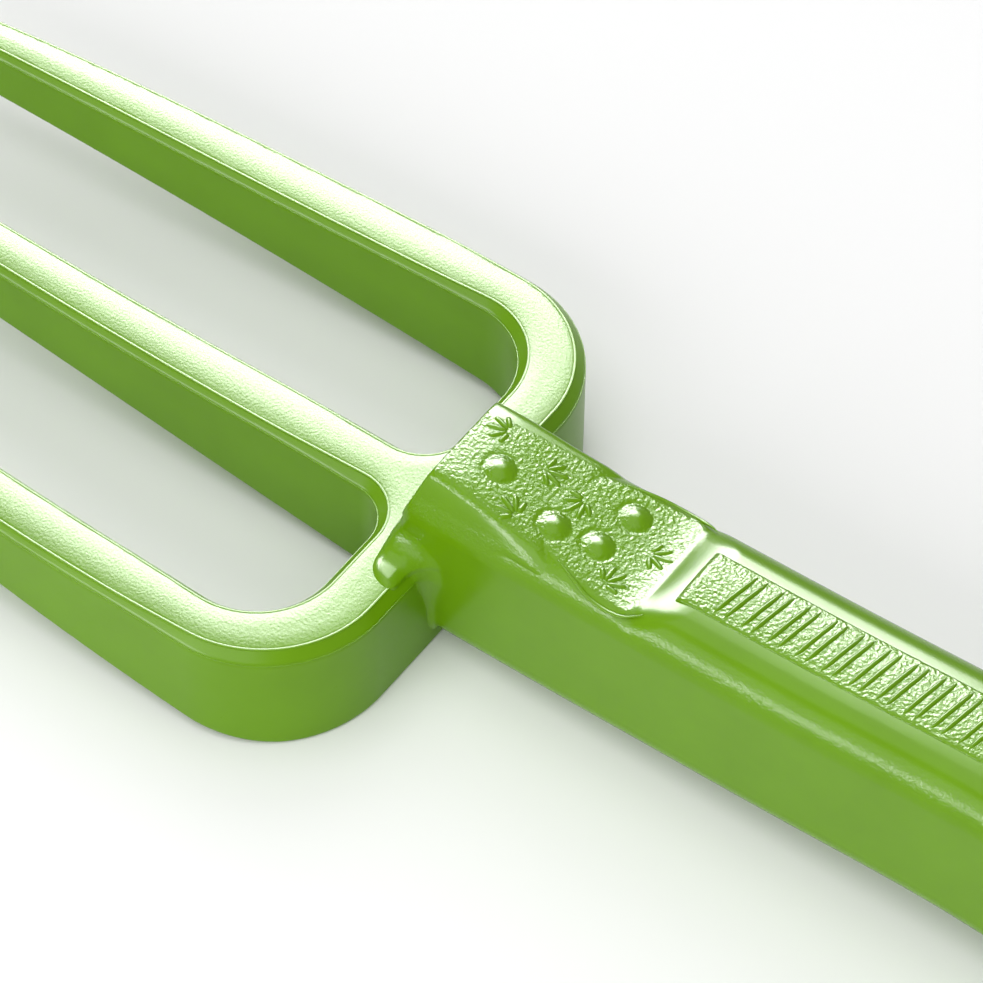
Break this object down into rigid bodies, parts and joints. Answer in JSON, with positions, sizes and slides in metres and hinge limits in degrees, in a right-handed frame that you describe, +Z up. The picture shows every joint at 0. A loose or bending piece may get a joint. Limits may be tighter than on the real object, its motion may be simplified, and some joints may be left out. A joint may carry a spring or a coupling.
{
  "type": "garden hand fork",
  "caption": "Moulded plastic hand fork with tapering tines on a deep yoke, a hollow grip with a scooped thumb rest, and an end cap with a hanging hole.",
  "frame": {"origin": "on the plane the tool rests on, midway between tine tips and butt, on the tool's middle plane", "axes": "+X along the tool towards the butt (the tines point to -X), +Z up out of the thumb-rest side, +Y across the head"},
  "size_m": [0.29, 0.0856, 0.0376],
  "materials": {
    "head_plastic": "satin spark-eroded upper faces, smooth sides",
    "grip_plastic": "smooth flanks, pebble-grained thumb rest and grip panel",
    "cap_plastic": "smooth",
    "screw_steel": "zinc plated"
  },
  "bodies": {
    "fork": {"fork_head": "head_plastic", "handle": "grip_plastic", "tang_screw": "screw_steel", "end_cap": "cap_plastic"}
  },
  "joints": []
}
